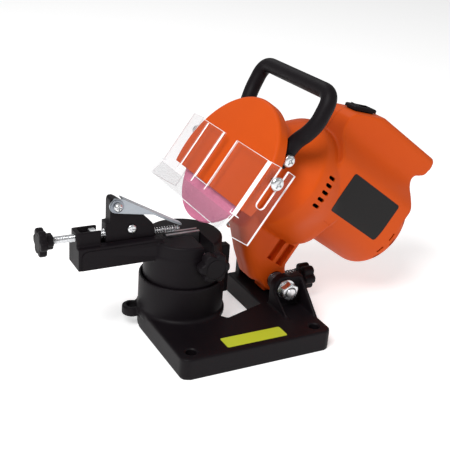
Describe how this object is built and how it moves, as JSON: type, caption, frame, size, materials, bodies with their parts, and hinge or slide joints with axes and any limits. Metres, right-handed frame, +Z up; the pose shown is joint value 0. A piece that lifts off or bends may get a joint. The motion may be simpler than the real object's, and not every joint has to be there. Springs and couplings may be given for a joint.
{
  "type": "electric chainsaw sharpener",
  "caption": "Bench chain sharpener: tilting motor head with guarded grinding wheel and clear visor over a swivelling chain vice on a cast base.",
  "frame": {"origin": "on the bench face straight under the head hinge, in the plane of the wheel and vice", "axes": "+X to the motor end, +Z up, -Y to the user who turns the clamp knob"},
  "size_m": [0.3447, 0.1493, 0.2027],
  "materials": {
    "black_plastic": "fine textured black polyamide",
    "orange_plastic": "satin orange moulding",
    "zinc": "bright zinc plating",
    "steel": "machined steel",
    "abrasive": "pink bonded grit",
    "clear": "clear polycarbonate",
    "copper": "turned copper bars",
    "iron": "laminated core with windings",
    "grey_plastic": "satin grey moulding",
    "carbon": "pressed carbon"
  },
  "bodies": {
    "base": {"base_casting": "black_plastic", "hinge_bolt": "zinc", "hinge_washer": "zinc", "hinge_nut": "zinc", "hinge_spacer": "zinc", "lift_spring": "steel", "depth_spring": "steel"},
    "depth_stop": {"depth_screw": "zinc"},
    "depth_grip": {"depth_knob": "black_plastic"},
    "vice": {"vice_body": "black_plastic", "swivel_screw": "zinc", "swivel_washer": "zinc", "fixed_rail": "steel", "feed_nut": "zinc"},
    "jaw": {"clamp_jaw": "steel"},
    "clamp": {"clamp_screw": "zinc", "clamp_knob": "black_plastic"},
    "carriage": {"stop_carriage": "black_plastic", "pawl_washer": "zinc", "pawl_screw": "zinc", "carriage_screw": "zinc", "stop_rod": "steel", "stop_spring": "steel"},
    "feed": {"feed_screw": "zinc", "feed_knob": "black_plastic"},
    "pawl": {"pawl": "steel"},
    "head": {"housing_near_shell": "orange_plastic", "housing_far_shell": "orange_plastic", "shell_screw_1": "zinc", "shell_screw_2": "zinc", "shell_screw_3": "zinc", "wheel_guard": "orange_plastic", "guard_back_plate": "orange_plastic", "spindle_bearing_front": "steel", "spindle_bearing_rear": "steel", "motor_bearing_front": "steel", "motor_bearing_rear": "steel", "stator": "iron", "brush_near": "carbon", "brush_far": "carbon", "hinge_bush": "zinc", "carry_handle": "black_plastic", "handle_screw_near": "zinc", "handle_screw_far": "zinc", "visor_screw_near": "zinc", "visor_screw_far": "zinc", "switch_body": "black_plastic", "cable_gland": "black_plastic"},
    "wheel_set": {"grinding_wheel": "abrasive", "outer_flange": "zinc", "inner_flange": "zinc", "wheel_nut": "zinc", "spindle": "steel", "driven_gear": "steel"},
    "rotor": {"armature": "iron", "motor_pinion": "steel", "cooling_fan": "grey_plastic", "commutator": "copper"},
    "visor": {"visor": "clear"},
    "rocker": {"switch_rocker": "grey_plastic"}
  },
  "joints": [
    {"name": "head_swing", "type": "hinge", "parent": "base", "child": "head", "pos_m": [0, 0, 0.0323], "axis": [0, -1, 0], "range_deg": [0, 5], "stiffness_Nm_per_rad": 3, "springref_deg": -17.19},
    {"name": "wheel_spin", "type": "hinge", "parent": "head", "child": "wheel_set", "pos_m": [-0.04802, 0, 0.13563], "axis": [0.8192, 0, -0.5736], "continuous": true},
    {"name": "motor_spin", "type": "hinge", "parent": "head", "child": "rotor", "pos_m": [-0.03219, 0, 0.15824], "axis": [0.8192, 0, -0.5736], "continuous": true},
    {"name": "turntable_swivel", "type": "hinge", "parent": "base", "child": "vice", "pos_m": [-0.0778, 0, 0.0223], "axis": [0, 0, 1], "range_deg": [-30, 30]},
    {"name": "jaw_slide", "type": "slide", "parent": "vice", "child": "jaw", "axis": [0, 1, 0], "range_m": [-0.0015, 0.001]},
    {"name": "clamp_turn", "type": "hinge", "parent": "jaw", "child": "clamp", "pos_m": [-0.0697, -0.035, 0.065], "axis": [0, 1, 0], "range_deg": [-450, 306]},
    {"name": "stop_travel", "type": "slide", "parent": "vice", "child": "carriage", "axis": [1, 0, 0], "range_m": [-0.003, 0.003]},
    {"name": "feed_turn", "type": "hinge", "parent": "carriage", "child": "feed", "pos_m": [-0.18, 0, 0.087], "axis": [1, 0, 0], "range_deg": [-1116, 1116]},
    {"name": "pawl_flip", "type": "hinge", "parent": "carriage", "child": "pawl", "pos_m": [-0.1361, 0, 0.1106], "axis": [0, -1, 0], "range_deg": [0, 12]},
    {"name": "depth_travel", "type": "slide", "parent": "base", "child": "depth_stop", "axis": [1, 0, 0], "range_m": [0, 0.003]},
    {"name": "depth_turn", "type": "hinge", "parent": "depth_stop", "child": "depth_grip", "pos_m": [0.035, 0, 0.0215], "axis": [1, 0, 0], "range_deg": [-18, 900]},
    {"name": "visor_slide", "type": "slide", "parent": "head", "child": "visor", "axis": [0.5736, 0, 0.8192], "range_m": [-0.003, 0.012]},
    {"name": "rocker_tilt", "type": "hinge", "parent": "head", "child": "rocker", "pos_m": [0.0762, 0, 0.16658], "axis": [0, -1, 0], "range_deg": [0, 12]}
  ],
  "couplings": [
    {"joint": "motor_spin", "follows": "wheel_spin", "ratio": -3},
    {"joint": "clamp_turn", "follows": "jaw_slide", "rad_per_m": 5026.5},
    {"joint": "feed_turn", "follows": "stop_travel", "rad_per_m": 6283.2},
    {"joint": "depth_turn", "follows": "depth_travel", "rad_per_m": 5026.5}
  ]
}
